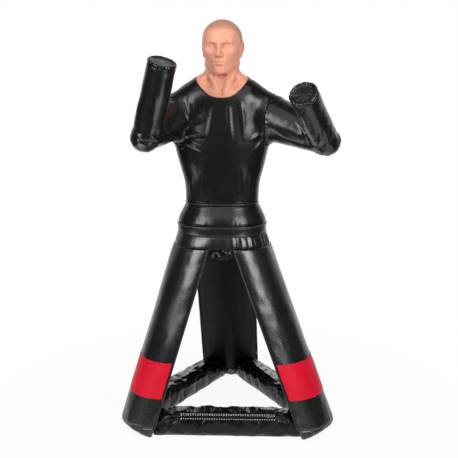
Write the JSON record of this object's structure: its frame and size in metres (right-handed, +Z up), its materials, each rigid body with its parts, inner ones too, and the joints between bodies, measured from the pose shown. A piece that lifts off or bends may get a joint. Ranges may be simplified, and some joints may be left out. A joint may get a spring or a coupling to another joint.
{
  "type": "grappling dummy",
  "caption": "Free-standing stuffed vinyl dummy with a moulded head, raised arms and splayed tripod legs on weighted floor sleeves, for grappling and striking practice.",
  "frame": {"origin": "middle of the box on the floor", "axes": "+Z up, the dummy faces -Y and its left arm is at +X"},
  "size_m": [0.9672, 0.9872, 1.8],
  "materials": {
    "leg_vinyl": "satin black vinyl with a fine grain",
    "inner_vinyl": "matt black vinyl",
    "shirt_vinyl": "soft satin black vinyl with a fine grain",
    "sleeve_vinyl": "glossy black vinyl, wrinkled",
    "piping_vinyl": "black vinyl piping and binding",
    "red_vinyl": "satin red printed band",
    "moulded_skin": "matt flesh-coloured moulded skin",
    "foam_filling": "shredded foam and textile stuffing",
    "weight_filling": "packed weight filling",
    "zip_tape": "woven black zip tape",
    "zip_coil": "black nylon zip coil",
    "zip_steel": "blackened zip slider"
  },
  "bodies": {
    "base": {"right_leg_foam": "foam_filling", "right_outer_panel": "leg_vinyl", "right_inner_panel": "inner_vinyl", "right_leg_welt_1": "piping_vinyl", "right_leg_welt_2": "piping_vinyl", "right_foot_cap": "leg_vinyl", "left_leg_foam": "foam_filling", "left_outer_panel": "leg_vinyl", "left_inner_panel": "inner_vinyl", "left_leg_welt_1": "piping_vinyl", "left_leg_welt_2": "piping_vinyl", "left_foot_cap": "leg_vinyl", "rear_leg_foam": "foam_filling", "rear_outer_panel": "leg_vinyl", "rear_inner_panel": "inner_vinyl", "rear_leg_welt_1": "piping_vinyl", "rear_leg_welt_2": "piping_vinyl", "rear_foot_cap": "leg_vinyl", "right_leg_band": "red_vinyl", "left_leg_band": "red_vinyl", "front_base_sleeve": "sleeve_vinyl", "front_weight_bag": "weight_filling", "left_base_sleeve": "sleeve_vinyl", "left_weight_bag": "weight_filling", "right_base_sleeve": "sleeve_vinyl", "right_weight_bag": "weight_filling", "zip_tape": "zip_tape", "zip_coil": "zip_coil", "hip_yoke": "leg_vinyl", "hip_band": "leg_vinyl", "hip_foam": "foam_filling", "lower_hip_piping": "piping_vinyl", "upper_hip_piping": "piping_vinyl", "crotch_web": "inner_vinyl", "waist_sleeve": "shirt_vinyl", "waist_foam": "foam_filling"},
    "torso": {"shirt": "shirt_vinyl", "torso_foam": "foam_filling", "collar_binding": "piping_vinyl", "hem_binding": "piping_vinyl", "bust_skin": "moulded_skin", "bust_core": "foam_filling"},
    "right_upper_arm": {"right_upper_arm_sleeve": "shirt_vinyl", "right_upper_arm_foam": "foam_filling"},
    "right_forearm": {"right_forearm_sleeve": "shirt_vinyl", "right_forearm_foam": "foam_filling", "right_hand_cap": "shirt_vinyl"},
    "left_upper_arm": {"left_upper_arm_sleeve": "shirt_vinyl", "left_upper_arm_foam": "foam_filling"},
    "left_forearm": {"left_forearm_sleeve": "shirt_vinyl", "left_forearm_foam": "foam_filling", "left_hand_cap": "shirt_vinyl"},
    "zip_slider": {"zip_slider": "zip_steel"},
    "zip_pull": {"zip_pull": "zip_steel"}
  },
  "joints": [
    {"name": "waist_lean", "type": "hinge", "parent": "base", "child": "torso", "pos_m": [-0.029, -0.0508, 0.9625], "axis": [1, 0, 0], "range_deg": [-15, 20], "stiffness_Nm_per_rad": 700, "deforming": ["waist_sleeve", "waist_foam"]},
    {"name": "right_shoulder_swing", "type": "hinge", "parent": "torso", "child": "right_upper_arm", "pos_m": [-0.24097, -0.07583, 1.385], "axis": [1, 0, 0], "range_deg": [-30, 30], "stiffness_Nm_per_rad": 250},
    {"name": "right_elbow_bend", "type": "hinge", "parent": "right_upper_arm", "child": "right_forearm", "pos_m": [-0.33394, -0.33846, 1.32035], "axis": [0.9112, -0.2402, -0.3346], "range_deg": [-8, 40], "stiffness_Nm_per_rad": 90},
    {"name": "left_shoulder_swing", "type": "hinge", "parent": "torso", "child": "left_upper_arm", "pos_m": [0.18303, -0.07583, 1.385], "axis": [1, 0, 0], "range_deg": [-30, 30], "stiffness_Nm_per_rad": 250},
    {"name": "left_elbow_bend", "type": "hinge", "parent": "left_upper_arm", "child": "left_forearm", "pos_m": [0.41641, -0.21369, 1.29376], "axis": [0.5316, 0.4093, 0.7415], "range_deg": [-8, 40], "stiffness_Nm_per_rad": 90},
    {"name": "zip_slide", "type": "slide", "parent": "base", "child": "zip_slider", "axis": [1, 0, 0], "range_m": [-0.385, 0]},
    {"name": "zip_pull_swing", "type": "hinge", "parent": "zip_slider", "child": "zip_pull", "pos_m": [0.20067, -0.35006, 0.09718], "axis": [0, 0.7308, 0.6825], "range_deg": [0, 150]}
  ]
}
